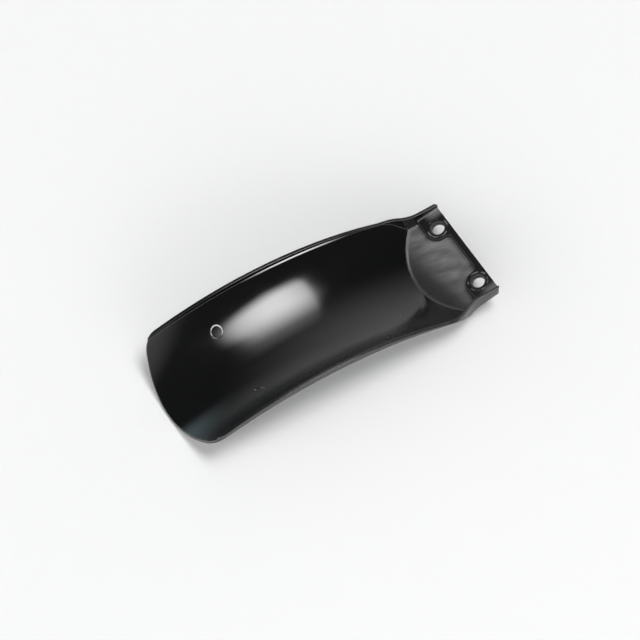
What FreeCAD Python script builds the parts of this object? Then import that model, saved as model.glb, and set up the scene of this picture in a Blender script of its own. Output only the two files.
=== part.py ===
"""Shock mud flap: one moulded plastic shell, a saddle shaped trough with a bolted flange at one end.

The flap lies as it comes to rest on a table. X runs along the flap towards the flange, Y across it
and Z up. The origin is on the table, under the middle of the flap.
"""
import FreeCAD, Part
import math
import os
import Sketcher
from FreeCAD import Rotation, Vector

doc = FreeCAD.newDocument("mud_flap")

# Driving sizes in millimetres and degrees
SIZES = {
    "overall_length": 238.0,       # tip to flange end
    "wall": 2.2,                   # moulded wall
    "trough_width": 96.0,          # outside, over the rims
    "flange_width": 82.0,          # outside, over the side walls
    "flange_straight": 15.0,       # parallel sided length at the flange end
    "neck_length": 27.0,           # curved stretch between flange and trough
    "floor_arch_radius": 275.0,    # lengthwise arch of the trough floor
    "section_radius": 72.0,        # hollow of the trough across
    "seat_foot": 40.0,             # flange end to the foot of the sloping seat
    "seat_angle": 17.0,            # slope of the seat
    "rim_face": 4.8,               # height of the rim's outer face at its crest
    "rim_face_end": 1.9,           # the same over the tip and the seat's foot
    "rim_shift": 2.0,              # crest of the rim past the crest of the floor, towards the tip
    "end_wall": 3.2,               # side wall over the flange, at the flange end
    "end_wall_angle": 2.8,         # fall of the side wall's top away from the flange end
    "rim_blend": 24.0,             # radius between the two stretches of the rim
    "tip_radius": 114.0,           # plan curve of the tip
    "tip_corner": 12.0,            # plan radius of the tip's corners
    "flange_rise": 4.0,            # flange over the seat, square to it
    "flange_thickness": 3.0,
    "strip_width": 4.0,            # raised strip along the flange end
    "lobe_radius": 8.2,            # raised pad round each screw hole
    "lobe_blend": 3.0,             # inside corner between pad and strip
    "hole_diameter": 9.2,
    "hole_spacing": 51.2,
    "hole_from_end": 8.1,
    "boss_diameter": 12.8,
    "bore_length": 5.0,
    "mark_diameter": 8.5,          # ejector pin marks in the trough
    "mark_depth": 0.3,
    "mark_spacing": 56.0,
    "mark_from_end": 183.0,
    "tray_round": 4.5,             # outer bottom edges of the seat and neck
    "end_round": 2.5,              # plan corners of the flange end
    "seat_round": 4.0,             # bend between seat and trough
    "flange_round": 1.5,           # inside corner between flange and side wall
    "hole_chamfer": 0.4,           # mouth of each hole
    "rim_round": 0.5,              # outer edge of the rim
}
CLEAR = 20.0    # reach of cutting solids past the flap

# Sizes that follow from them
DERIVED = {
    "half_span": "(overall_length - seat_foot) / 2",
    "ring_drop": "sqrt((floor_arch_radius - wall)^2 - half_span^2)",
    "side_rise": "section_radius + wall - sqrt((section_radius + wall)^2 - (trough_width / 2)^2)",
    "side_radius": "floor_arch_radius - wall + side_rise",
    "rim_crest": "side_radius - ring_drop + rim_face",
    "rim_sag": "side_radius - sqrt(side_radius^2 - half_span^2) + rim_face - rim_face_end",
    "rim_radius": "(half_span^2 + rim_sag^2) / (2 * rim_sag)",
    "flange_level": "wall + flange_rise",
    "end_top": "seat_foot * tan(seat_angle * 1 deg) + flange_level / cos(seat_angle * 1 deg) + end_wall",
    "neck_offset": "(trough_width - flange_width) / 2",
    "neck_radius": "(neck_length^2 + neck_offset^2) / (4 * neck_offset)",
}

sheet = doc.addObject("Spreadsheet::Sheet", "Sizes")
cells = {name: str(value) for name, value in SIZES.items()}
cells.update({name: "=" + formula for name, formula in DERIVED.items()})
for row, (name, content) in enumerate(cells.items(), start=1):
    sheet.set(f"A{row}", name)
    sheet.set(f"B{row}", content)
    sheet.setAlias(f"B{row}", name)
doc.recompute()


def size(name):
    """Value of a size, read back from the sheet."""
    return float(sheet.get(name))


def bind(item, formulas):
    """Bind properties to formulas, in which a dollar sign stands before each name of the sheet."""
    for prop, formula in formulas.items():
        item.setExpression(prop, formula.replace("$", "Sizes."))


def add(kind, name, formulas):
    """New document object with its sizes bound to the sheet."""
    item = doc.addObject(kind, name)
    bind(item, formulas)
    return item


def common(name, *items):
    """What all the items share."""
    item = doc.addObject("Part::MultiCommon", name)
    item.Shapes = list(items)
    return item


def fuse(name, *items):
    """All the items as one."""
    item = doc.addObject("Part::MultiFuse", name)
    item.Shapes = list(items)
    item.Refine = True
    return item


def cut(name, base, tool):
    """The base without the tool."""
    item = doc.addObject("Part::Cut", name)
    item.Base = base
    item.Tool = tool
    return item


# Drawing helpers: the ends of an edge, the origin and the X axis as a sketch numbers them
START, END, CENTRE = 1, 2, 3
X_AXIS = -1
ORIGIN = (-1, 1)


def line(first, last):
    """Straight edge of a sketch."""
    return Part.LineSegment(Vector(*first, 0), Vector(*last, 0))


def arc(centre, radius, first, last):
    """Counter-clockwise arc of a sketch between two angles in radians."""
    return Part.ArcOfCircle(Part.Circle(Vector(*centre, 0), Vector(0, 0, 1), radius), first, last)


def draw(name, edges, links, dimensions):
    """Sketch from edges, links (geometric constraints) and dimensions (kind, place, value, formula)."""
    sketch = doc.addObject("Sketcher::SketchObject", name)
    sketch.addGeometry(edges, False)
    for link in links:
        sketch.addConstraint(Sketcher.Constraint(*link))
    for kind, place, value, formula in dimensions:
        number = sketch.addConstraint(Sketcher.Constraint(kind, *place, value))
        sketch.setExpression(f"Constraints[{number}]", formula.replace("$", "Sizes."))
    return sketch


def extrude(name, sketch, low, high):
    """Solid between two heights over a sketch in plan; the heights are formulas."""
    sketch.setExpression("Placement.Base.z", low.replace("$", "Sizes."))
    item = add("Part::Extrusion", name, {"LengthFwd": f"({high}) - ({low})"})
    item.Base = sketch
    item.DirMode = "Normal"
    item.Solid = True
    return item


def both_sides(name, half):
    """A half solid, for Y above nought, together with its mirror image."""
    mirror = doc.addObject("Part::Mirroring", name + "_mirror")
    mirror.Source = half
    mirror.Normal = Vector(0, 1, 0)
    return fuse(name, half, mirror)


def samples(edge):
    """Five points along an edge."""
    span = edge.LastParameter - edge.FirstParameter
    return [edge.valueAt(edge.FirstParameter + span * step / 4) for step in range(5)]


def near(first, second):
    """Equal but for the tolerance of the modeller."""
    return abs(first - second) < 0.01


def round_edges(name, base, radius, wanted):
    """Base with a rounding on each edge that is wanted."""
    return dress_edges("Part::Fillet", name, base, radius, wanted)


def dress_edges(kind, name, base, radius, wanted):
    """Base with a rounding or a chamfer on each edge that is wanted, judged by points along it."""
    doc.recompute()
    item = doc.addObject(kind, name)
    item.Base = base
    item.Edges = [(number, radius, radius) for number, edge in enumerate(base.Shape.Edges, start=1)
                  if wanted(edge, samples(edge))]
    return item


half_length = size("overall_length") / 2
half_trough = size("trough_width") / 2
half_flange = size("flange_width") / 2
rim_crest_x = -size("seat_foot") / 2 - size("rim_shift")
neck_length = size("neck_length")
neck_start = half_length - size("flange_straight")
neck_radius = size("neck_radius")
neck_turn = math.asin(neck_length / 2 / neck_radius)


def neck_edges(inset):
    """The two arcs of the neck, hollow then round, moved inwards by the inset."""
    hollow = arc((neck_start, half_flange + neck_radius), neck_radius + inset,
                 1.5 * math.pi - neck_turn, 1.5 * math.pi)
    rounded = arc((neck_start - neck_length, half_trough - neck_radius), neck_radius - inset,
                  0.5 * math.pi - neck_turn, 0.5 * math.pi)
    return [hollow, rounded]


NECK_LINKS = [("Horizontal", 0), ("PointOnObject", 0, START, X_AXIS), ("Coincident", 0, END, 1, START),
              ("Vertical", 1), ("Horizontal", 2), ("Tangent", 2, END, 3, END),
              ("Tangent", 3, START, 4, START), ("Tangent", 4, END, 5, START), ("Horizontal", 5)]


def outer_plan():
    """Half of the flap's outline in plan, from the flange end round the neck to the tip."""
    tip_radius = size("tip_radius")
    corner = size("tip_corner")
    tip_centre = tip_radius - half_length
    corner_y = half_trough - corner
    corner_x = tip_centre - math.sqrt((tip_radius - corner) ** 2 - corner_y ** 2)
    corner_end = math.atan2(corner_y, corner_x - tip_centre)
    end_round = size("end_round")
    edges = [line((-half_length, 0), (half_length, 0)),
             line((half_length, 0), (half_length, half_flange - end_round)),
             line((half_length - end_round, half_flange), (neck_start, half_flange)),
             *neck_edges(0),
             line((neck_start - neck_length, half_trough), (corner_x, half_trough)),
             arc((corner_x, corner_y), corner, 0.5 * math.pi, corner_end),
             arc((tip_centre, 0), tip_radius, corner_end, math.pi),
             arc((half_length - end_round, half_flange - end_round), end_round, 0, 0.5 * math.pi)]
    links = NECK_LINKS + [("Equal", 3, 4), ("Tangent", 5, END, 6, START), ("Tangent", 6, END, 7, START),
                          ("Coincident", 7, END, 0, START), ("PointOnObject", 7, CENTRE, X_AXIS),
                          ("Tangent", 1, END, 8, START), ("Tangent", 8, END, 2, START)]
    dimensions = [
        ("DistanceX", (*ORIGIN, 1, START), half_length, "$overall_length / 2"),
        ("DistanceX", (0, START, 0, END), 2 * half_length, "$overall_length"),
        ("DistanceY", (*ORIGIN, 2, START), half_flange, "$flange_width / 2"),
        ("DistanceX", (2, END, 1, START), half_length - neck_start, "$flange_straight"),
        ("DistanceX", (5, START, 2, END), neck_length, "$neck_length"),
        ("DistanceY", (*ORIGIN, 5, START), half_trough, "$trough_width / 2"),
        ("Radius", (6,), corner, "$tip_corner"),
        ("Radius", (7,), tip_radius, "$tip_radius"),
        ("Radius", (8,), end_round, "$end_round")]
    return draw("outer_plan", edges, links, dimensions)


def walls_plan(name, inset, inset_formula):
    """Half of the space between the walls in plan, open past both ends, moved inwards by the inset."""
    reach = half_length + CLEAR
    flange_y = half_flange - inset
    trough_y = half_trough - inset
    edges = [line((-reach, 0), (reach, 0)),
             line((reach, 0), (reach, flange_y)),
             line((reach, flange_y), (neck_start, flange_y)),
             *neck_edges(inset),
             line((neck_start - neck_length, trough_y), (-reach, trough_y)),
             line((-reach, trough_y), (-reach, 0))]
    links = NECK_LINKS + [("Coincident", 1, END, 2, START), ("Coincident", 5, END, 6, START),
                          ("Vertical", 6), ("Coincident", 6, END, 0, START)]
    dimensions = [
        ("DistanceX", (*ORIGIN, 1, START), reach, f"$overall_length / 2 + {CLEAR}"),
        ("DistanceX", (0, START, 0, END), 2 * reach, f"$overall_length + 2 * {CLEAR}"),
        ("DistanceY", (1, START, 1, END), flange_y, f"$flange_width / 2 - {inset_formula}"),
        ("DistanceX", (2, END, 2, START), reach - neck_start, f"$flange_straight + {CLEAR}"),
        ("DistanceX", (5, START, 2, END), neck_length, "$neck_length"),
        ("DistanceY", (*ORIGIN, 5, START), trough_y, f"$trough_width / 2 - {inset_formula}"),
        ("Radius", (3,), neck_radius + inset, f"$neck_radius + {inset_formula}")]
    return draw(name, edges, links, dimensions)


def rim_profile():
    """Side view of all that lies below the rim: a long arch, a blend and the straight side wall top."""
    reach = half_length + CLEAR
    radius = size("rim_radius")
    blend = size("rim_blend")
    fall = math.radians(size("end_wall_angle"))
    along = Vector(math.cos(fall), math.sin(fall), 0)
    across = Vector(-math.sin(fall), math.cos(fall), 0)
    end_top = Vector(half_length, size("end_top"), 0)
    wall_top = Vector(reach, end_top.y + CLEAR * math.tan(fall), 0)
    arch = Vector(rim_crest_x, size("rim_crest") - radius, 0)
    raised = end_top + across * blend - arch
    back = raised.dot(along)
    slide = math.sqrt(back ** 2 - raised.Length ** 2 + (radius + blend) ** 2) - back
    hollow = end_top + across * blend + along * slide
    turn = hollow - arch
    join = math.atan2(turn.y, turn.x)
    foot = hollow - across * blend
    far = math.acos((-reach - arch.x) / radius)
    far_top = arch.y + radius * math.sin(far)
    edges = [line((-reach, -CLEAR), (reach, -CLEAR)),
             line((reach, -CLEAR), (reach, wall_top.y)),
             line((foot.x, foot.y), (reach, wall_top.y)),
             arc((hollow.x, hollow.y), blend, join + math.pi, 1.5 * math.pi + fall),
             arc((arch.x, arch.y), radius, join, far),
             line((-reach, far_top), (-reach, -CLEAR))]
    links = [("Horizontal", 0), ("Coincident", 0, END, 1, START), ("Vertical", 1),
             ("Coincident", 1, END, 2, END), ("Tangent", 2, START, 3, END), ("Tangent", 3, START, 4, START),
             ("Coincident", 4, END, 5, START), ("Vertical", 5), ("Coincident", 5, END, 0, START)]
    dimensions = [
        ("DistanceX", (0, START, *ORIGIN), reach, f"$overall_length / 2 + {CLEAR}"),
        ("DistanceX", (0, START, 0, END), 2 * reach, f"$overall_length + 2 * {CLEAR}"),
        ("DistanceY", (0, START, *ORIGIN), CLEAR, f"{CLEAR}"),
        ("Angle", (2,), fall, "$end_wall_angle * 1 deg"),
        ("DistanceY", (*ORIGIN, 2, END), wall_top.y, f"$end_top + {CLEAR} * tan($end_wall_angle * 1 deg)"),
        ("Radius", (3,), blend, "$rim_blend"),
        ("Radius", (4,), radius, "$rim_radius"),
        ("DistanceX", (4, CENTRE, 2, END), reach - arch.x,
         f"($overall_length + $seat_foot) / 2 + $rim_shift + {CLEAR}"),
        ("DistanceY", (4, CENTRE, *ORIGIN), -arch.y, "$rim_radius - $rim_crest")]
    sketch = draw("rim_profile", edges, links, dimensions)
    sketch.Placement = FreeCAD.Placement(Vector(), Rotation(Vector(1, 0, 0), 90))
    return sketch


def flange_plan(name, inset, inset_formula):
    """Half of the raised flange in plan, a strip and a pad round each hole, moved inwards by the inset."""
    reach = half_length + CLEAR
    strip = half_length - size("strip_width") + inset
    side = half_flange - inset
    radius = size("lobe_radius") - inset
    blend = size("lobe_blend") + inset
    hole_x = half_length - size("hole_from_end")
    hole_y = size("hole_spacing") / 2
    edges = [line((strip, 0), (reach, 0)),
             line((reach, 0), (reach, side)),
             line((reach, side), (hole_x - radius, side)),
             line((hole_x - radius, side), (hole_x - radius, hole_y)),
             arc((hole_x, hole_y), radius, math.pi, 1.5 * math.pi),
             line((hole_x, hole_y - radius), (strip - blend, hole_y - radius)),
             arc((strip - blend, hole_y - radius - blend), blend, 0, 0.5 * math.pi),
             line((strip, hole_y - radius - blend), (strip, 0))]
    links = [("Horizontal", 0), ("PointOnObject", 0, START, X_AXIS), ("Coincident", 0, END, 1, START),
             ("Vertical", 1), ("Coincident", 1, END, 2, START), ("Horizontal", 2),
             ("Coincident", 2, END, 3, START), ("Vertical", 3), ("Tangent", 3, END, 4, START),
             ("Tangent", 4, END, 5, START), ("Horizontal", 5), ("Tangent", 5, END, 6, END),
             ("Tangent", 6, START, 7, START), ("Vertical", 7), ("Coincident", 7, END, 0, START)]
    dimensions = [
        ("DistanceX", (*ORIGIN, 1, START), reach, f"$overall_length / 2 + {CLEAR}"),
        ("DistanceX", (0, START, 0, END), reach - strip, f"$strip_width - {inset_formula} + {CLEAR}"),
        ("DistanceY", (1, START, 1, END), side, f"$flange_width / 2 - {inset_formula}"),
        ("Radius", (4,), radius, f"$lobe_radius - {inset_formula}"),
        ("Radius", (6,), blend, f"$lobe_blend + {inset_formula}"),
        ("DistanceY", (*ORIGIN, 4, CENTRE), hole_y, "$hole_spacing / 2"),
        ("DistanceX", (4, CENTRE, 1, START), reach - hole_x, f"$hole_from_end + {CLEAR}")]
    return draw(name, edges, links, dimensions)


def trough(name, deeper):
    """Ring whose inner bend is the trough's hollow, deepened by a formula.

    Its axis lies across the flap. The underside of the trough then touches the table at the tip
    and at the foot of the seat.
    """
    ring = add("Part::Torus", name, {
        "Radius1": "$floor_arch_radius + $section_radius",
        "Radius2": f"$section_radius + {deeper}",
        "Placement.Base.x": "-$seat_foot / 2",
        "Placement.Base.z": "-$ring_drop"})
    ring.Placement.Rotation = Rotation(Vector(1, 0, 0), 90)
    return ring


def above_seat(name, lift):
    """Space above the sloping seat, whose underside rises from the table at the seat's foot."""
    block = add("Part::Box", name, {
        "Length": "2 * $overall_length",
        "Width": "$trough_width + 2 * $wall",
        "Height": "$overall_length",
        "Placement.Rotation.Angle": "$seat_angle * 1 deg",
        "Placement.Base.x": f"$overall_length / 2 - $seat_foot - $overall_length * cos($seat_angle * 1 deg)"
                            f" - {lift} * sin($seat_angle * 1 deg)",
        "Placement.Base.y": "-$trough_width / 2 - $wall",
        "Placement.Base.z": f"-$overall_length * sin($seat_angle * 1 deg)"
                            f" + {lift} * cos($seat_angle * 1 deg)"})
    block.Placement.Rotation = Rotation(Vector(0, -1, 0), size("seat_angle"))
    return block


def ejector_pin(name):
    """Upright cylinder over one of the ejector pin marks."""
    return add("Part::Cylinder", name, {
        "Radius": "$mark_diameter / 2",
        "Height": f"2 * $rim_crest + {CLEAR}",
        "Placement.Base.x": "$overall_length / 2 - $mark_from_end",
        "Placement.Base.y": "$mark_spacing / 2",
        "Placement.Base.z": f"-{CLEAR}"})


def leaning(name, diameter, low, high):
    """Cylinder at one screw hole, square to the seat, between two levels over the seat's underside."""
    depth = f"($flange_level - ({low}))"
    rod = add("Part::Cylinder", name, {
        "Radius": f"{diameter} / 2",
        "Height": f"({high}) - ({low})",
        "Placement.Rotation.Angle": "$seat_angle * 1 deg",
        "Placement.Base.x": f"$overall_length / 2 - $hole_from_end + {depth} * sin($seat_angle * 1 deg)",
        "Placement.Base.y": "$hole_spacing / 2",
        "Placement.Base.z": f"($seat_foot - $hole_from_end) * tan($seat_angle * 1 deg)"
                            f" + $flange_level / cos($seat_angle * 1 deg)"
                            f" - {depth} * cos($seat_angle * 1 deg)"})
    rod.Placement.Rotation = Rotation(Vector(0, -1, 0), size("seat_angle"))
    return rod


# Outside of the moulding: below the rim, inside the outline, above the underside
below_rim = add("Part::Extrusion", "below_rim", {"LengthFwd": "2 * $trough_width"})
below_rim.Base = rim_profile()
below_rim.DirMode = "Normal"
below_rim.Symmetric = True
below_rim.Solid = True
outline = both_sides("outline", extrude("outline_half", outer_plan(), f"-{CLEAR}", "2 * $rim_crest"))
rim_block = common("rim_block", outline, below_rim)


def rim_edge(edge, points):
    """Edges round the top of the block, but for the one over the flange end."""
    upright_edge = (points[4] - points[0]).dot(Vector(0, 0, 1)) == edge.Length
    at_top = all(p.z > 0 for p in points) and not upright_edge
    return at_top and not all(near(p.x, half_length) for p in points)


rim_rounded = round_edges("rim_rounded", rim_block, size("rim_round"), rim_edge)
wide_half = extrude("wide_half", walls_plan("wide_plan", 0, "0"), f"-{CLEAR}", "2 * $rim_crest")
tray = common("tray", both_sides("over_walls", wide_half), above_seat("under_seat", "0"))
slope = math.radians(size("seat_angle"))
seat_foot = half_length - size("seat_foot")


def over_slope(point):
    """Height of a point over the plane of the seat's underside, square to it."""
    return point.z * math.cos(slope) - (point.x - seat_foot) * math.sin(slope)


def slope_side(level, reach):
    """Test for the edges at one level over the slope and at least so far from the middle."""
    return lambda edge, points: all(near(over_slope(p), level) and abs(p.y) > reach - 0.01 for p in points)


tray_rounded = round_edges("tray_rounded", tray, size("tray_round"), slope_side(0, half_flange))
arched = common("arched", rim_rounded, trough("underside", "$wall"))
body = common("body", arched, tray_rounded)

# Hollow above the floor, with the raised flange left standing in it
inner_plan = walls_plan("inner_plan", size("wall"), "$wall")
inner_half = extrude("inner_half", inner_plan, f"-{CLEAR}", "2 * $rim_crest")
between_walls = both_sides("between_walls", inner_half)
ring_x = -size("seat_foot") / 2
ring_radius = size("floor_arch_radius") + size("section_radius")


def on_floor(point):
    """True on the trough's floor."""
    out = math.hypot(point.x - ring_x, point.z + size("ring_drop")) - ring_radius
    return near(math.hypot(out, point.y), size("section_radius"))


def seat_bend(edge, points):
    """Bend where the seat meets the trough."""
    on_seat = all(near(over_slope(p), size("wall")) and p.x < half_length + CLEAR for p in points)
    return on_seat and all(on_floor(p) for p in points)


over_seat = above_seat("over_seat", "$wall")
sharp_valley = common("sharp_valley", trough("floor", "0"), over_seat)
valley = round_edges("valley", sharp_valley, size("seat_round"), seat_bend)
inside = common("inside", between_walls, over_seat)
inside_rounded = round_edges("inside_rounded", inside, size("tray_round") - size("wall"),
                             slope_side(size("wall"), half_flange - size("wall")))
hollow = common("hollow", inside_rounded, valley)
flange_half = extrude("flange_half", flange_plan("flange_plan", 0, "0"), f"-{CLEAR}", "2 * $rim_crest")
flange = cut("flange", both_sides("flange_block", flange_half), above_seat("over_flange", "$flange_level"))
hollow_clear = cut("hollow_clear", hollow, flange)
shell = cut("shell", body, hollow_clear)

# Hollow under the flange, with a boss round each hole
under_plan = flange_plan("under_plan", size("wall"), "$wall")
under_block = both_sides("under_block", extrude("under_half", under_plan, f"-{CLEAR}", "2 * $rim_crest"))
in_flange = above_seat("in_flange", "($flange_level - $flange_thickness)")
under_flange = cut("under_flange", under_block, in_flange)
thinned = cut("thinned", shell, under_flange)
boss = both_sides("boss", leaning("boss_one", "$boss_diameter", "$flange_level - $bore_length",
                                  "$flange_level - $flange_thickness / 2"))
bossed = fuse("bossed", thinned, boss)

# Screw holes and the ejector pin marks
hole = both_sides("hole", leaning("hole_one", "$hole_diameter", f"-{CLEAR}", "2 * $rim_crest"))
mark = common("mark", both_sides("pin", ejector_pin("pin_one")), trough("mark_floor", "$mark_depth"))
marked = cut("marked", cut("drilled", bossed, hole), mark)

# Roundings of the finished shell, each found by where its edges lie
flange_level = size("flange_level")
wall_face = half_flange - size("wall")


def wall_corner(edge, points):
    """Inside corners between flange and side walls."""
    return all(near(over_slope(p), flange_level) and abs(p.y) > wall_face - 0.1 for p in points)


def hole_mouth(edge, points):
    """Upper edges of the screw holes."""
    return edge.isClosed() and all(near(over_slope(p), flange_level) for p in points)


chamfered = dress_edges("Part::Chamfer", "chamfered", marked, size("hole_chamfer"), hole_mouth)
flap = round_edges("flap", chamfered, size("flange_round"), wall_corner)
flap.Label = "mud_flap"
doc.recompute()

failed = [item.Name for item in doc.Objects if "Invalid" in item.State or "Error" in item.State]
if failed:
    raise RuntimeError(f"these objects failed: {failed}")
if flap.Shape.isNull() or not flap.Shape.isValid() or len(flap.Shape.Solids) != 1:
    raise RuntimeError("the flap is not one valid solid")

os.makedirs("parts", exist_ok=True)
flap.Shape.exportStep(f"parts/{flap.Label}.step")
box = flap.Shape.optimalBoundingBox(True, False)
print(f"mud_flap {box.XLength:.2f} x {box.YLength:.2f} x {box.ZLength:.2f} mm, lowest {box.ZMin:.3f},"
      f" volume {flap.Shape.Volume / 1000:.2f} cm3")
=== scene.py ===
# %% [markdown]
# # A moulded mud flap
# The object is one piece of black plastic that keeps mud off a motorcycle's rear shock. It is a long
# trough, arched along its length and hollow across it, that narrows to a sloping seat and ends in a
# raised flange with two screw holes. The measured model brings the form. This lesson gives it the skin
# of a real moulding, which is glossy, scuffed, dusty and soft at its edges, and lights it for a picture.

# %% Load the measured model
import math

import bpy
import numpy as np
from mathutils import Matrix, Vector


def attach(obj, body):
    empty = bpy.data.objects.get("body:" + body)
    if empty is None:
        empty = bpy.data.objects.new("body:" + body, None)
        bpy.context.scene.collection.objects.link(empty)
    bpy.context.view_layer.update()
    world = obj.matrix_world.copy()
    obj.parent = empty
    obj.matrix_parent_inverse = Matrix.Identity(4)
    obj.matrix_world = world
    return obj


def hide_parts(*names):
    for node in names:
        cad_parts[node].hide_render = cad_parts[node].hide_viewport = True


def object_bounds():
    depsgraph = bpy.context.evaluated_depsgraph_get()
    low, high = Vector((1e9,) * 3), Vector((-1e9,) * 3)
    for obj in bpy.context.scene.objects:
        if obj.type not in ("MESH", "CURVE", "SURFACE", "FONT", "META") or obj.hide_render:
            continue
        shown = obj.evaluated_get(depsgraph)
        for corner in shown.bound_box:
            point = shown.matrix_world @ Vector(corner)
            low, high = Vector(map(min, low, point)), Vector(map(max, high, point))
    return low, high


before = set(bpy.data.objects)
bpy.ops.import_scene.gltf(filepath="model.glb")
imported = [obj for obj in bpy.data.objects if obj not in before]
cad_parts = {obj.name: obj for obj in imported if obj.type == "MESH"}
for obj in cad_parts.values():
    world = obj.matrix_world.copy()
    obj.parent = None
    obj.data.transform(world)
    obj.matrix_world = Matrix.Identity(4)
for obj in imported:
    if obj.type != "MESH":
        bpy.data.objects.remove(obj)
cad_box = [list(corner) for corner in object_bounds()]
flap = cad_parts["mud_flap"]
scene = bpy.context.scene
scene.view_settings.view_transform = "Standard"
MM = 0.001
print("measured box in metres:", cad_box)

# %% [markdown]
# ## Where things are on the flap
# The seat is the flat slope between the trough and the flange. A material can find it without any
# painted picture, because every point of the seat lies at the same height over one sloping plane. The
# plane starts on the table, a known distance from the flange end, and rises at a known angle. The trough
# is part of a ring surface, as the inside of a tyre is. Its points all lie one tube radius away from the
# circle in the middle of the ring's tube.

# %% Places on the flap
SEAT_FOOT = 40.0 * MM
SEAT_ANGLE = math.radians(17.0)
WALL = 2.2 * MM
RING_X = -20.0 * MM
RING_Z = -254.2 * MM
RING_RADIUS = 347.0 * MM
TUBE_RADIUS = 72.0 * MM
flange_end = cad_box[1][0]
foot_x = flange_end - SEAT_FOOT
print("the seat's foot lies at x =", round(foot_x / MM, 1), "mm")

# %% [markdown]
# ## Exact directions for a mirror-like skin
# Black gloss mirrors the room, so it shows every fault in a surface. The measured model is made of small
# flat triangles, and the directions stored at their corners are averages, which bends the mirror image
# beside the seat. A finer mesh could help. But on a ring surface the direction is known at every point:
# it looks at the circle in the middle of the tube. The seat and the flange are flat, so theirs is known
# too. We copy the model, write the known directions to the corners of the copy, and show the copy in
# the model's place.


# %% Directions on the ring surface
def towards_tube_centre(points):
    """Vectors from points to the nearest point of the ring's centre circle, which turns about Y."""
    ring_centre = np.array([RING_X, 0.0, RING_Z])
    from_axis = points - ring_centre
    from_axis[:, 1] = 0.0
    outwards = from_axis / np.linalg.norm(from_axis, axis=1, keepdims=True)
    return ring_centre + RING_RADIUS * outwards - points


def read_vectors(items, name):
    """Three numbers of each item of a mesh as one array."""
    values = np.empty(3 * len(items))
    items.foreach_get(name, values)
    return values.reshape(-1, 3)


print("ring and tube radius in mm:", round(RING_RADIUS / MM, 1), round(TUBE_RADIUS / MM, 1))

# %% Exact directions for the trough, the seat and the flange
ON_SURFACE = 0.03 * MM
RING_SAME_WAY = math.cos(math.radians(8.0))
SLOPE_SAME_WAY = math.cos(math.radians(0.5))


def exact_normals(mesh):
    """Normals of all corners, with the known ones in place; returns how many were set."""
    corner = np.empty(len(mesh.loops), dtype=int)
    mesh.loops.foreach_get("vertex_index", corner)
    points = read_vectors(mesh.vertices, "co")[corner]
    normals = read_vectors(mesh.corner_normals, "vector")
    corners_each = len(mesh.loops) // len(mesh.polygons)
    facing = np.repeat(read_vectors(mesh.polygons, "normal"), corners_each, axis=0)
    inwards = towards_tube_centre(points)
    distance = np.linalg.norm(inwards, axis=1)
    inwards /= distance[:, None]
    known = np.zeros(len(points), dtype=bool)
    for radius, side in ((TUBE_RADIUS, 1.0), (TUBE_RADIUS + WALL, -1.0)):
        on_ring = np.abs(distance - radius) < ON_SURFACE
        on_ring &= side * np.sum(inwards * facing, axis=1) > RING_SAME_WAY
        normals[on_ring] = side * inwards[on_ring]
        known |= on_ring
    seat_up = np.array([-math.sin(SEAT_ANGLE), 0.0, math.cos(SEAT_ANGLE)])
    on_slope = facing @ seat_up > SLOPE_SAME_WAY
    normals[on_slope] = seat_up
    mesh.normals_split_custom_set(normals.tolist())
    return int(np.sum(known | on_slope))


skin_mesh = flap.data.copy()
moulding = bpy.data.objects.new("moulding", skin_mesh)
scene.collection.objects.link(moulding)
print("corners with an exact direction:", exact_normals(skin_mesh), "of", len(skin_mesh.loops))
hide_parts("mud_flap")
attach(moulding, "root")

# %% [markdown]
# ## Small helpers for node trees
# A node tree is a chain of small sums, and a few helpers keep each step on one line. They start a group
# with named sockets, join a value or another node's output to a socket, and add a sum, a product, a soft
# step or a cloudy noise. The soft step matters most: it turns a measure into a mask with a soft edge.


# %% Helpers that build
def new_group(name, labels):
    """Group of nodes that takes a point and puts out values; returns tree, point and output sockets."""
    tree = bpy.data.node_groups.new(name, "ShaderNodeTree")
    tree.interface.new_socket("Point", in_out="INPUT", socket_type="NodeSocketVector")
    for label in labels:
        tree.interface.new_socket(label, in_out="OUTPUT", socket_type="NodeSocketFloat")
    point = tree.nodes.new("NodeGroupInput").outputs["Point"]
    return tree, point, tree.nodes.new("NodeGroupOutput").inputs


def feed(tree, socket, value):
    """Give a socket its value: a plain number, a vector or the output of another node."""
    if isinstance(value, bpy.types.NodeSocket):
        tree.links.new(value, socket)
    else:
        socket.default_value = value


def split(tree, vector):
    """The X, Y and Z of a point or a direction."""
    node = tree.nodes.new("ShaderNodeSeparateXYZ")
    feed(tree, node.inputs[0], vector)
    return node.outputs


print("helpers that build are ready")


# %% Helpers that reckon
def maths(tree, operation, first, second=0.0):
    """Add one sum to a tree and return its result."""
    node = tree.nodes.new("ShaderNodeMath")
    node.operation = operation
    feed(tree, node.inputs[0], first)
    feed(tree, node.inputs[1], second)
    return node.outputs[0]


def product(tree, *factors):
    """Product of several values."""
    result = factors[0]
    for factor in factors[1:]:
        result = maths(tree, "MULTIPLY", result, factor)
    return result


def total(tree, *terms):
    """Sum of several values."""
    result = terms[0]
    for term in terms[1:]:
        result = maths(tree, "ADD", result, term)
    return result


def size_of(tree, value):
    """A value without its sign."""
    return maths(tree, "ABSOLUTE", value)


print("helpers that reckon are ready")


# %% Helpers that shade
def fade(tree, value, start, end, low=0.0, high=1.0):
    """Soft step: low up to the start, high from the end on, and a smooth slope between."""
    node = tree.nodes.new("ShaderNodeMapRange")
    node.interpolation_type = "SMOOTHSTEP"
    feed(tree, node.inputs["Value"], value)
    feed(tree, node.inputs["From Min"], start)
    feed(tree, node.inputs["From Max"], end)
    feed(tree, node.inputs["To Min"], low)
    feed(tree, node.inputs["To Max"], high)
    return node.outputs["Result"]


def fade_out(tree, value, start, end, high=1.0, low=0.0):
    """Soft step down: high up to the start and low from the end on."""
    return fade(tree, value, start, end, high, low)


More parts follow.
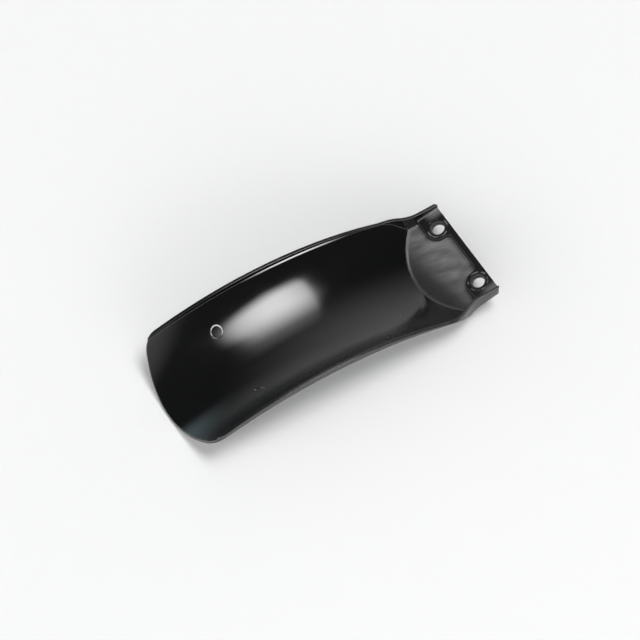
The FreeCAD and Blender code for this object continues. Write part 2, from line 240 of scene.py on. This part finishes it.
def noise(tree, point, stretch, detail):
    """Cloudy noise from 0 to 1; the stretch counts its blobs per metre along X, Y and Z."""
    scale = tree.nodes.new("ShaderNodeVectorMath")
    scale.operation = "MULTIPLY"
    feed(tree, scale.inputs[0], point)
    feed(tree, scale.inputs[1], stretch)
    cloud = tree.nodes.new("ShaderNodeTexNoise")
    feed(tree, cloud.inputs["Vector"], scale.outputs[0])
    feed(tree, cloud.inputs["Scale"], 1.0)
    feed(tree, cloud.inputs["Detail"], detail)
    return cloud.outputs["Fac"]


print("helpers that shade are ready")

# %% [markdown]
# ## Measures
# Wear sits in certain places: on the seat, round a hole, at the foot of a rim. Each could be painted by
# hand. A measure finds it more exactly: the height over the seat's plane, the distance in plan from a
# hole or a mark, or the distance from the middle of the ring's tube.


# %% Measures
def level_over_seat(tree, along, up):
    """Height over the seat's upper face, square to it."""
    lift = product(tree, up, math.cos(SEAT_ANGLE))
    fall = product(tree, maths(tree, "SUBTRACT", along, foot_x), math.sin(SEAT_ANGLE))
    return maths(tree, "SUBTRACT", maths(tree, "SUBTRACT", lift, fall), WALL)


def length(tree, first, second):
    """Length of a step that has two parts at a right angle."""
    squares = total(tree, product(tree, first, first), product(tree, second, second))
    return maths(tree, "SQRT", squares)


def distance_from(tree, along, across, centre_x, centre_y):
    """Distance in plan from a point that is mirrored on both sides of the middle."""
    return length(tree, maths(tree, "SUBTRACT", along, centre_x),
                  maths(tree, "SUBTRACT", size_of(tree, across), centre_y))


def distance_from_tube(tree, along, across, up):
    """Distance from the circle in the middle of the ring's tube."""
    from_axis = length(tree, maths(tree, "SUBTRACT", along, RING_X), maths(tree, "SUBTRACT", up, RING_Z))
    return length(tree, maths(tree, "SUBTRACT", RING_RADIUS, from_axis), across)


RING_CORE = 0.3


def ring(tree, distance, radius, half_width):
    """Soft ring: 1 near the radius and 0 beyond the half width on either side."""
    off_radius = size_of(tree, maths(tree, "SUBTRACT", distance, radius))
    return fade_out(tree, off_radius, RING_CORE * half_width, half_width)


print("measures ready")

# %% [markdown]
# ## Streaks on the seat
# On the real flap the seat has lost its gloss: something has been drawn along it and left fine streaks.
# They could be painted on a picture, but noise that is stretched along the flap, and leans a little,
# looks the same from near and far and needs no picture. A fine and a broad noise are mixed, and the
# streaks grow fainter towards the seat's foot.

# %% Streaks on the seat
STREAK_LEAN = 0.26
FINE_STRETCH = (90.0, 1500.0, 0.0)
FINE_DETAIL = 3.0
FINE_SHARE = 0.4
BROAD_STRETCH = (70.0, 140.0, 0.0)
BROAD_DETAIL = 1.5
STREAK_CONTRAST = (0.2, 0.8)
FOOT_LEAN = 0.2
STREAKS_GROW = (4.0 * MM, 30.0 * MM)
LEAST_STREAK = 0.05


def streaks_on_seat(tree, along, across):
    """Streaks from 0 to 1; returns them and how far they have grown from the seat's foot."""
    leaning = tree.nodes.new("ShaderNodeCombineXYZ")
    feed(tree, leaning.inputs["X"], along)
    feed(tree, leaning.inputs["Y"], total(tree, across, product(tree, along, STREAK_LEAN)))
    fine = noise(tree, leaning.outputs[0], FINE_STRETCH, FINE_DETAIL)
    broad = noise(tree, leaning.outputs[0], BROAD_STRETCH, BROAD_DETAIL)
    mixed = total(tree, product(tree, fine, FINE_SHARE), product(tree, broad, 1.0 - FINE_SHARE))
    up_slope = maths(tree, "SUBTRACT", along, foot_x)
    from_foot = total(tree, up_slope, product(tree, across, FOOT_LEAN))
    grown = fade(tree, from_foot, *STREAKS_GROW, LEAST_STREAK, 1.0)
    return product(tree, fade(tree, mixed, *STREAK_CONTRAST), grown), grown


print("streaks per metre across the seat, fine and broad:", FINE_STRETCH[1], BROAD_STRETCH[1])

# %% [markdown]
# ## The rubbed flange
# The flange lies one step above the seat. It is rubbed beside its side walls, and in a ring round each
# hole, where a collar has sat under a screw. A plain ring would look printed on, so noise breaks it up:
# a collar never bears evenly.

# %% The rubbed flange
FLANGE_RISE = 4.0 * MM
FLANGE_BAND = (0.1 * MM, 0.8 * MM)
HOLE_FROM_END = 8.1 * MM
HOLE_SPACING = 51.2 * MM
COLLAR_RADIUS = 6.7 * MM
COLLAR_HALF_WIDTH = 0.7 * MM
COLLAR_STRETCH = (250.0, 250.0, 250.0)
COLLAR_DETAIL = 2.0
COLLAR_BREAKS = (0.42, 0.62)
BESIDE_WALL = (30.0 * MM, 38.0 * MM)
LEAST_RUB = 0.06
hole_x = flange_end - HOLE_FROM_END
flange_begins = (hole_x - 11.0 * MM, hole_x - 9.0 * MM)
wall_rub_begins = (hole_x - 6.0 * MM, hole_x + 4.0 * MM)


def rubbed_flange(tree, point, along, across, level, from_hole):
    """Mask of the rubbed places on the flange's upper face."""
    off_face = size_of(tree, maths(tree, "SUBTRACT", level, FLANGE_RISE))
    on_face = product(tree, fade_out(tree, off_face, *FLANGE_BAND), fade(tree, along, *flange_begins))
    patchy = fade(tree, noise(tree, point, COLLAR_STRETCH, COLLAR_DETAIL), *COLLAR_BREAKS)
    collar = product(tree, ring(tree, from_hole, COLLAR_RADIUS, COLLAR_HALF_WIDTH), patchy)
    beside_wall = product(tree, fade(tree, size_of(tree, across), *BESIDE_WALL),
                          fade(tree, along, *wall_rub_begins))
    strongest = maths(tree, "MAXIMUM", maths(tree, "MAXIMUM", collar, beside_wall), LEAST_RUB)
    return product(tree, on_face, strongest)


print("the holes lie at x =", round(hole_x / MM, 1), "mm")

# %% [markdown]
# ## Painted highlights on the rims
# Light catches the edges of the rims, most of all halfway along the far rim, so there the edges are
# painted pale as a painted highlight, half as strongly on the near rim. A thin bright line lies in the
# corner at the far rim's foot. A rounded corner could mirror a lamp there, but the measured corner is
# sharp and mirrors nothing. So a narrow strip of the floor beside the corner is painted pale as a
# painted highlight, and it fades out towards both ends.

# %% Painted highlights on the rims
RIM_FOOT = 45.8 * MM
RIM_MIDDLE = 8.0 * MM
RIM_SIDE = (33.0 * MM, 35.0 * MM)
TO_FAR_SIDE = (0.0, 1.0 * MM)
NEAR_SHARE = 0.5
HIGHLIGHT_FADES = (14.0 * MM, 48.0 * MM)
LEAST_HIGHLIGHT = 0.15
DOWN_TO_FOOT = (TUBE_RADIUS - 1.0 * MM, TUBE_RADIUS - 0.5 * MM)
TOP_SHARE = 0.3
STRIP_STARTS = (RIM_FOOT - 0.75 * MM, RIM_FOOT - 0.25 * MM)
STRIP_ENDS = (RIM_FOOT + 0.1 * MM, RIM_FOOT + 0.3 * MM)
FLOOR_STARTS = (TUBE_RADIUS - 0.6 * MM, TUBE_RADIUS - 0.2 * MM)
FLOOR_ENDS = (TUBE_RADIUS + 0.2 * MM, TUBE_RADIUS + 0.6 * MM)
LINE_FADES = (8.0 * MM, 44.0 * MM)
LINE_STRENGTH = 0.8


def painted_rim_highlights(tree, along, across, up):
    """Masks of the painted highlight on the rim edges and of the painted pale line at the foot of the far
    rim.
    """
    from_middle = size_of(tree, maths(tree, "SUBTRACT", along, RIM_MIDDLE))
    from_tube = distance_from_tube(tree, along, across, up)
    # Painted highlight: the rim edges turn pale, most of all halfway along the far rim.
    edges = product(tree, fade(tree, size_of(tree, across), *RIM_SIDE),
                    fade(tree, across, *TO_FAR_SIDE, NEAR_SHARE, 1.0),
                    fade_out(tree, from_middle, *HIGHLIGHT_FADES, 1.0, LEAST_HIGHLIGHT),
                    fade(tree, from_tube, *DOWN_TO_FOOT, TOP_SHARE, 1.0))
    # Painted highlight: a narrow pale strip on the floor beside the far rim's foot.
    strip = product(tree, fade(tree, across, *STRIP_STARTS), fade_out(tree, across, *STRIP_ENDS))
    on_floor = product(tree, fade(tree, from_tube, *FLOOR_STARTS), fade_out(tree, from_tube, *FLOOR_ENDS))
    line = product(tree, strip, on_floor, fade_out(tree, from_middle, *LINE_FADES, LINE_STRENGTH))
    return edges, line


print("the rims' feet lie at y = +/-", round(RIM_FOOT / MM, 1), "mm")

# %% [markdown]
# ## All wear and the painted highlights in one group
# A group of nodes is like a function: it is made once, it has named sockets, and it keeps a material
# easy to read. This one puts out a mask for each kind of wear, a mask for each painted highlight on the
# rims, and one for how matt the skin is. The streaky seat, the rubbed flange and the bores are matt. The
# near side of the trough, which hands hold, is only a little dull.

# %% The group of scuffing and painted highlights
SEAT_BAND = (0.8 * MM, 1.0 * MM)
SEAT_DULLS = (0.0, 0.6)
LEAST_SEAT_DULL = 0.35
BORE_EDGE = (5.0 * MM, 5.6 * MM)
HANDLED_SIDE = (-38.0 * MM, -22.0 * MM)
HANDLED_DULL = 0.35


def scuff_and_highlight_group():
    """Group that puts out the masks of all worn places and of the painted highlights on the rims."""
    tree, point, sockets = new_group("scuffing_and_highlights", ("Seat", "Flange", "Streaks", "Matt", "Rim", "Corner"))
    along, across, up = split(tree, point)
    level = level_over_seat(tree, along, up)
    from_hole = distance_from(tree, along, across, hole_x, HOLE_SPACING / 2)
    seat = fade_out(tree, size_of(tree, level), *SEAT_BAND)
    streaks, grown = streaks_on_seat(tree, along, across)
    flange = rubbed_flange(tree, point, along, across, level, from_hole)
    rim, corner = painted_rim_highlights(tree, along, across, up)
    dull_seat = product(tree, seat, fade(tree, grown, *SEAT_DULLS, LEAST_SEAT_DULL, 1.0))
    handled = fade_out(tree, across, *HANDLED_SIDE, HANDLED_DULL)
    dull_pad = maths(tree, "MAXIMUM", fade_out(tree, from_hole, *BORE_EDGE), flange)
    matt = total(tree, maths(tree, "MAXIMUM", dull_seat, handled), dull_pad)
    masks = {"Seat": seat, "Flange": flange, "Streaks": streaks, "Matt": matt, "Rim": rim, "Corner": corner}
    for label, mask in masks.items():
        feed(tree, sockets[label], mask)
    return tree


scuffing_and_highlights = scuff_and_highlight_group()
print("group:", scuffing_and_highlights.name, "with", len(scuffing_and_highlights.nodes), "nodes")

# %% [markdown]
# ## Gloss, dust and pin marks
# The rest of the moulding is a semi-gloss black. Its gloss isn't even: handling leaves faint clouds that
# are a little duller. A few grains of dust lie on it too. Cells of a Voronoi pattern place them: each
# cell holds one grain, and only the cells with a high random number show theirs. The ejector pins that
# pushed the moulding out of its tool left two round marks, and a pale ring lies round one of them.

# %% Pin marks
MARK_FROM_END = 183.0 * MM
MARK_SPACING = 56.0 * MM
PALE_RADIUS = 3.95 * MM
PALE_HALF_WIDTH = 0.5 * MM
PALE_STRETCH = (300.0, 300.0, 300.0)
PALE_DETAIL = 1.0
PALE_BREAKS = (0.35, 0.6)
LEAST_PALE = 0.3
MARK_TO_FAR_SIDE = (0.0, 20.0 * MM)
NEAR_MARK_SHARE = 0.05
UPPER_FACE = (21.5 * MM, 22.5 * MM)
mark_x = flange_end - MARK_FROM_END


def pale_marks(tree, point):
    """Mask of the white rings round the pin marks, broken up by noise."""
    along, across, up = split(tree, point)
    from_mark = distance_from(tree, along, across, mark_x, MARK_SPACING / 2)
    blobs = noise(tree, point, PALE_STRETCH, PALE_DETAIL)
    return product(tree, ring(tree, from_mark, PALE_RADIUS, PALE_HALF_WIDTH),
                   fade(tree, blobs, *PALE_BREAKS, LEAST_PALE, 1.0),
                   fade(tree, across, *MARK_TO_FAR_SIDE, NEAR_MARK_SHARE, 1.0),
                   fade(tree, up, *UPPER_FACE))


print("the pin marks lie at x =", round(mark_x / MM, 1), "mm")

# %% Gloss, dust and the skin group
CLOUD_STRETCH = (60.0, 60.0, 60.0)
CLOUD_DETAIL = 4.0
DUST_CELLS = 55.0
GRAIN_EDGE = (0.012, 0.024)
CLEAN_SHARE = 0.7


def skin_group():
    """Group that gives the clouds in the gloss, the grains of dust and the pale pin marks."""
    tree, point, sockets = new_group("moulded_skin", ("Clouds", "Dust", "Marks"))
    cells = tree.nodes.new("ShaderNodeTexVoronoi")
    feed(tree, cells.inputs["Vector"], point)
    feed(tree, cells.inputs["Scale"], DUST_CELLS)
    chance = tree.nodes.new("ShaderNodeSeparateColor")
    feed(tree, chance.inputs[0], cells.outputs["Color"])
    shown = maths(tree, "GREATER_THAN", chance.outputs[0], CLEAN_SHARE)
    grain = fade_out(tree, cells.outputs["Distance"], *GRAIN_EDGE)
    feed(tree, sockets["Clouds"], noise(tree, point, CLOUD_STRETCH, CLOUD_DETAIL))
    feed(tree, sockets["Dust"], product(tree, grain, shown))
    feed(tree, sockets["Marks"], pale_marks(tree, point))
    return tree


moulded_skin = skin_group()
print("group:", moulded_skin.name, "with", len(moulded_skin.nodes), "nodes")

# %% [markdown]
# ## Black plastic
# The two groups meet in one material. The colour goes from black to the grey of the scuffed seat, and
# the roughness rises with it. A real moulding has no knife edges, so a bevel node bends the normal
# round every edge, which lets the rim and the flange catch the light as thin lines. Where the bent
# normal departs from the plain one there is an edge, and on the rim such edges are painted pale as a
# painted highlight, as is a thin line at the far rim's foot.

# %% The material and its groups
plastic = bpy.data.materials.new("black_plastic")
plastic.use_nodes = True
coat = plastic.node_tree
shader = coat.nodes["Principled BSDF"]
place = coat.nodes.new("ShaderNodeTexCoord").outputs["Object"]


def placed(group):
    """Outputs of a group that is placed in the material and reads the object's own coordinates."""
    node = coat.nodes.new("ShaderNodeGroup")
    node.node_tree = group
    feed(coat, node.inputs["Point"], place)
    return node.outputs


wear_and_highlights = placed(scuffing_and_highlights)
skin = placed(moulded_skin)
print("material:", plastic.name)

# %% Soft edges
EDGE_ROUND = 0.7 * MM
EDGE_BENDS = (0.85, 0.985)
edge = coat.nodes.new("ShaderNodeBevel")
feed(coat, edge.inputs["Radius"], EDGE_ROUND)
feed(coat, shader.inputs["Normal"], edge.outputs["Normal"])
alike = coat.nodes.new("ShaderNodeVectorMath")
alike.operation = "DOT_PRODUCT"
feed(coat, alike.inputs[0], edge.outputs["Normal"])
feed(coat, alike.inputs[1], coat.nodes.new("ShaderNodeNewGeometry").outputs["Normal"])
bent = fade_out(coat, alike.outputs["Value"], *EDGE_BENDS)
print("edges look rounded by", round(EDGE_ROUND / MM, 1), "mm")

# %% Colour
BLACK = (0.0030, 0.0032, 0.0032, 1.0)
SCUFF_DARK = (0.022, 0.022, 0.022, 1.0)
SCUFF_LIGHT = (0.185, 0.185, 0.185, 1.0)
RUBBED = (0.11, 0.11, 0.11, 1.0)
# Pale colour of the painted highlights on the rim edges and at the far rim's foot.
PAINTED_EDGE_HIGHLIGHT = (0.80, 0.80, 0.80, 1.0)
DUST = (0.26, 0.26, 0.25, 1.0)
# Colour of the pale ring round the far pin mark.
PALE_RING_COLOUR = (0.50, 0.50, 0.50, 1.0)


def blend(amount, first, second):
    """Mix two colours of the material; a mix node takes colours at inputs 6 and 7, not by name."""
    node = coat.nodes.new("ShaderNodeMix")
    node.data_type = "RGBA"
    feed(coat, node.inputs[0], amount)
    feed(coat, node.inputs[6], first)
    feed(coat, node.inputs[7], second)
    return node.outputs[2]


scuffed = blend(wear_and_highlights["Streaks"], SCUFF_DARK, SCUFF_LIGHT)
worn = blend(wear_and_highlights["Seat"], BLACK, scuffed)
rubbed = blend(wear_and_highlights["Flange"], worn, RUBBED)
# Painted highlight: the bent rim edges and the strip at the far rim's foot turn pale.
pale_edge = maths(coat, "MAXIMUM", product(coat, bent, wear_and_highlights["Rim"]), wear_and_highlights["Corner"])
edged = blend(pale_edge, rubbed, PAINTED_EDGE_HIGHLIGHT)
marked = blend(skin["Marks"], edged, PALE_RING_COLOUR)
feed(coat, shader.inputs["Base Color"], blend(skin["Dust"], marked, DUST))
# The last colour printed is that of the painted highlights on the rims.
print("colours from black to worn edge:", BLACK[0], PAINTED_EDGE_HIGHLIGHT[0])

# %% Gloss
CLOUD_CONTRAST = (0.3, 0.7)
ROUGHNESS = (0.09, 0.12)
MATT_ROUGHNESS = 0.5
SPECULAR_LEVEL = 0.78
gloss = fade(coat, skin["Clouds"], *CLOUD_CONTRAST, *ROUGHNESS)
feed(coat, shader.inputs["Roughness"], total(coat, gloss, product(coat, wear_and_highlights["Matt"], MATT_ROUGHNESS)))
shader.inputs["Specular IOR Level"].default_value = SPECULAR_LEVEL
skin_mesh.materials.clear()
skin_mesh.materials.append(plastic)
print("roughness of the gloss:", ROUGHNESS)

# %% [markdown]
# ## Floor
# The flap lies on a plain pale table. A plane that is curved up at the back is the usual studio floor.
# Here the camera looks steeply down, so one large flat square is enough, and no edge comes into view.

# %% Floor
FLOOR_REACH = 4.0
FLOOR_COLOUR = (0.78, 0.78, 0.782, 1.0)
FLOOR_ROUGHNESS = 0.9
FLOOR_SPECULAR = 0.1
corners = [(-FLOOR_REACH, -FLOOR_REACH, 0), (FLOOR_REACH, -FLOOR_REACH, 0),
           (FLOOR_REACH, FLOOR_REACH, 0), (-FLOOR_REACH, FLOOR_REACH, 0)]
floor_mesh = bpy.data.meshes.new("floor")
floor_mesh.from_pydata(corners, [], [(0, 1, 2, 3)])
floor = bpy.data.objects.new("floor", floor_mesh)
scene.collection.objects.link(floor)
floor_paint = bpy.data.materials.new("floor_paint")
floor_paint.use_nodes = True
paper = floor_paint.node_tree.nodes["Principled BSDF"]
paper.inputs["Base Color"].default_value = FLOOR_COLOUR
paper.inputs["Roughness"].default_value = FLOOR_ROUGHNESS
paper.inputs["Specular IOR Level"].default_value = FLOOR_SPECULAR
floor_mesh.materials.append(floor_paint)
print("floor reaches", FLOOR_REACH, "m each way")

# %% [markdown]
# ## The soft box overhead
# Black gloss shows hardly any colour of its own. What we see is the room mirrored in it. Overhead hangs
# a large soft box, a little to the right, that is brightest in its middle and fades to the far side.
# Lamps could build the room, but a formula for the world's brightness in each direction makes soft edges
# easy. It works on the slopes X / Z and Y / Z of a direction, in which a flat box is a rectangle.

# %% The soft box overhead
LEAST_HEIGHT = 0.05
BOX_LEVEL = 10.8
BOX_MIDDLE = 0.28
BOX_BOW = 7.7
BOX_ROW = -0.17
BOX_ROUND_LIMIT = 0.09
BOX_LEFT = (-0.12, 0.06)
BOX_RIGHT = (0.50, 0.535)
BOX_NEAR = (-0.445, -0.175)
BOX_NEAR_LEAN = 0.45
BOX_LEAN_LIMIT = 0.3
BOX_FAR = (-0.15, 0.36)
BOX_TAIL = 0.16
BOX_TAIL_FAR = (0.15, 0.65)
BOX_LOWEST = (0.1, 0.2)


def soft_box(room, to_right, to_far, to_top):
    """Brightness of the box: a bow across it times a soft step at each of its four ends."""
    height = maths(room, "MAXIMUM", to_top, LEAST_HEIGHT)
    slope_right = maths(room, "DIVIDE", to_right, height)
    slope_far = maths(room, "DIVIDE", to_far, height)
    off_middle = maths(room, "SUBTRACT", slope_right, BOX_MIDDLE)
    bow = maths(room, "SUBTRACT", 1.0, product(room, off_middle, off_middle, BOX_BOW))
    off_row = maths(room, "SUBTRACT", slope_far, BOX_ROW)
    rounding = maths(room, "MINIMUM", product(room, off_row, off_row), BOX_ROUND_LIMIT)
    left_end = fade(room, maths(room, "SUBTRACT", slope_right, rounding), *BOX_LEFT)
    right_end = fade_out(room, slope_right, *BOX_RIGHT)
    leaning = product(room, BOX_NEAR_LEAN, maths(room, "MINIMUM", slope_right, BOX_LEAN_LIMIT))
    near_end = fade(room, total(room, slope_far, leaning), *BOX_NEAR)
    far_end = total(room, product(room, 1.0 - BOX_TAIL, fade_out(room, slope_far, *BOX_FAR)),
                    product(room, BOX_TAIL, fade_out(room, slope_far, *BOX_TAIL_FAR)))
    above = fade(room, to_top, *BOX_LOWEST)
    return product(room, bow, BOX_LEVEL, left_end, right_end, near_end, far_end, above)


print("brightness of the box:", BOX_LEVEL)

# %% [markdown]
# ## Walls and low lights
# A grey wall stands far right, a dim cool glow far left, and a pale wall near left that is brightest low
# down. A low light stands on either side and a dim one at the far end, and the rest is dark. Each is the
# product of a level and a few soft steps on the direction, so none shows an edge in the plastic.

# %% Walls
WALL_LEVEL = 0.67
WALL_TO_FAR = (0.0, 0.87)
WALL_TO_RIGHT = (-0.17, 0.6)
GLOW_LEVEL = 1.5
GLOW_TO_FAR = (0.75, 0.97)
GLOW_TO_RIGHT = (-0.30, -0.02)
PALE_WALL_LEVEL = 0.6
PALE_WALL_FAR = -0.45
PALE_WALL_RIGHT = -0.8
PALE_WALL_EDGE = (0.35, 0.52)
PALE_WALL_TOP = (0.1, 0.7)
PALE_WALL_FOOT = 5.6


def grey_wall(room, to_right, to_far):
    """Brightness of the grey wall far right."""
    return product(room, WALL_LEVEL, fade(room, to_far, *WALL_TO_FAR), fade(room, to_right, *WALL_TO_RIGHT))


def cool_glow(room, to_right, to_far):
    """Brightness of the glow far left."""
    return product(room, GLOW_LEVEL, fade(room, to_far, *GLOW_TO_FAR),
                   fade_out(room, to_right, *GLOW_TO_RIGHT))


def pale_wall(room, to_right, to_far, to_top):
    """Brightness of the wall near left, several times as bright at its foot."""
    near_left = total(room, product(room, to_far, PALE_WALL_FAR), product(room, to_right, PALE_WALL_RIGHT))
    return product(room, PALE_WALL_LEVEL, fade(room, near_left, *PALE_WALL_EDGE),
                   fade_out(room, to_top, *PALE_WALL_TOP, PALE_WALL_FOOT, 1.0))


print("brightness of the walls:", WALL_LEVEL, GLOW_LEVEL, PALE_WALL_LEVEL)

# %% Low lights
SIDE_LEVEL = 3.2
SIDE_RIGHT_SHIFT = 0.2
SIDE_EDGE = (0.45, 0.8)
SIDE_TOP = (0.1, 0.4)
FAR_LEVEL = 0.22
FAR_EDGE = (0.75, 0.95)
FAR_LEFT = (-0.2, 0.05)
FAR_RIGHT = (0.2, 0.6)


def side_lights(room, to_right, to_top):
    """Brightness of the low lights on both sides, of which the right one is narrower."""
    sideways = maths(room, "MAXIMUM", product(room, to_right, -1.0),
                     maths(room, "SUBTRACT", to_right, SIDE_RIGHT_SHIFT))
    return product(room, SIDE_LEVEL, fade(room, sideways, *SIDE_EDGE), fade_out(room, to_top, *SIDE_TOP))


def far_light(room, to_right, to_far):
    """Brightness of the dim light at the far end."""
    return product(room, FAR_LEVEL, fade(room, to_far, *FAR_EDGE), fade(room, to_right, *FAR_LEFT),
                   fade_out(room, to_right, *FAR_RIGHT))


print("brightness of the low lights:", SIDE_LEVEL, FAR_LEVEL)

# %% [markdown]
# ## The room
# All but the glow is white light, so one background shader takes the sum of it, and a second one gives
# the glow its cool tint. In the world, the Generated coordinates are the direction in which one looks.

# %% The room
DARK_LEVEL = 0.042
WHITE_LIGHT = (1.0, 1.0, 1.0, 1.0)
COOL_LIGHT = (0.72, 1.0, 1.07, 1.0)
world = bpy.data.worlds.new("studio")
world.use_nodes = True
studio = world.node_tree
right, far, top = split(studio, studio.nodes.new("ShaderNodeTexCoord").outputs["Generated"])
lit = total(studio, soft_box(studio, right, far, top), grey_wall(studio, right, far),
            pale_wall(studio, right, far, top), side_lights(studio, right, top),
            far_light(studio, right, far), DARK_LEVEL)
neutral = studio.nodes["Background"]
feed(studio, neutral.inputs["Color"], WHITE_LIGHT)
feed(studio, neutral.inputs["Strength"], lit)
cool = studio.nodes.new("ShaderNodeBackground")
feed(studio, cool.inputs["Color"], COOL_LIGHT)
feed(studio, cool.inputs["Strength"], cool_glow(studio, right, far))
both = studio.nodes.new("ShaderNodeAddShader")
feed(studio, both.inputs[0], neutral.outputs[0])
feed(studio, both.inputs[1], cool.outputs[0])
feed(studio, studio.nodes["World Output"].inputs["Surface"], both.outputs[0])
scene.world = world
print("world:", world.name, "with", len(studio.nodes), "nodes")

# %% [markdown]
# ## A lamp behind the camera
# The near rim's outer wall and the shadow under it face the dark side of the room, and the light so far
# leaves them too dark. More light all round would also grey the gloss. A wide, low lamp behind the
# camera brightens mostly them.


# %% The lamp behind the camera
def direction(azimuth, elevation):
    """Unit vector; the azimuth turns from +Y towards +X and the elevation upwards."""
    return Vector((math.sin(azimuth) * math.cos(elevation), math.cos(azimuth) * math.cos(elevation),
                   math.sin(elevation)))


LAMP_AZIMUTH = math.radians(180.0)
LAMP_ELEVATION = math.radians(18.0)
LAMP_DISTANCE = 3.0
LAMP_WIDTH = 3.4
LAMP_HEIGHT = 0.9
LAMP_WATTS = 32.0
lamp_data = bpy.data.lights.new("front_lamp", "AREA")
lamp_data.shape = "RECTANGLE"
lamp_data.size = LAMP_WIDTH
lamp_data.size_y = LAMP_HEIGHT
lamp_data.energy = LAMP_WATTS
lamp = bpy.data.objects.new("front_lamp", lamp_data)
to_lamp = direction(LAMP_AZIMUTH, LAMP_ELEVATION)
lamp.location = to_lamp * LAMP_DISTANCE
lamp.rotation_euler = (-to_lamp).to_track_quat("-Z", "Y").to_euler()
scene.collection.objects.link(lamp)
print("lamp:", lamp.name, LAMP_WATTS, "W")

# %% [markdown]
# ## Camera
# The picture is taken from the near left, high over the table, with a long lens: the far and the near
# side of the flap are then almost equally large. The lens follows from the distance and from how many
# pixels of the picture one millimetre of the flap takes up.

# %% Camera
AZIMUTH = math.radians(31.396)
ELEVATION = math.radians(57.106)
DISTANCE = 2.5
PIXELS_PER_MM = 1.466
PICTURE_WIDTH = 640.0
SENSOR_WIDTH = 36.0
FARTHEST = 20.0
TARGET = Vector((8.0, 12.44, 0.0)) * MM
looking = direction(AZIMUTH, -ELEVATION)
camera_data = bpy.data.cameras.new("camera")
camera_data.sensor_width = SENSOR_WIDTH
camera_data.lens = SENSOR_WIDTH * PIXELS_PER_MM * DISTANCE / MM / PICTURE_WIDTH
camera_data.clip_end = FARTHEST
camera = bpy.data.objects.new("camera", camera_data)
camera.location = TARGET - looking * DISTANCE
camera.rotation_euler = looking.to_track_quat("-Z", "Y").to_euler()
scene.collection.objects.link(camera)
scene.camera = camera
print("lens in mm:", round(camera_data.lens, 1))

# %% [markdown]
# ## The last look
# The view layer is brought up to date, so that the scene is ready.

# %% Bring the scene up to date
bpy.context.view_layer.update()
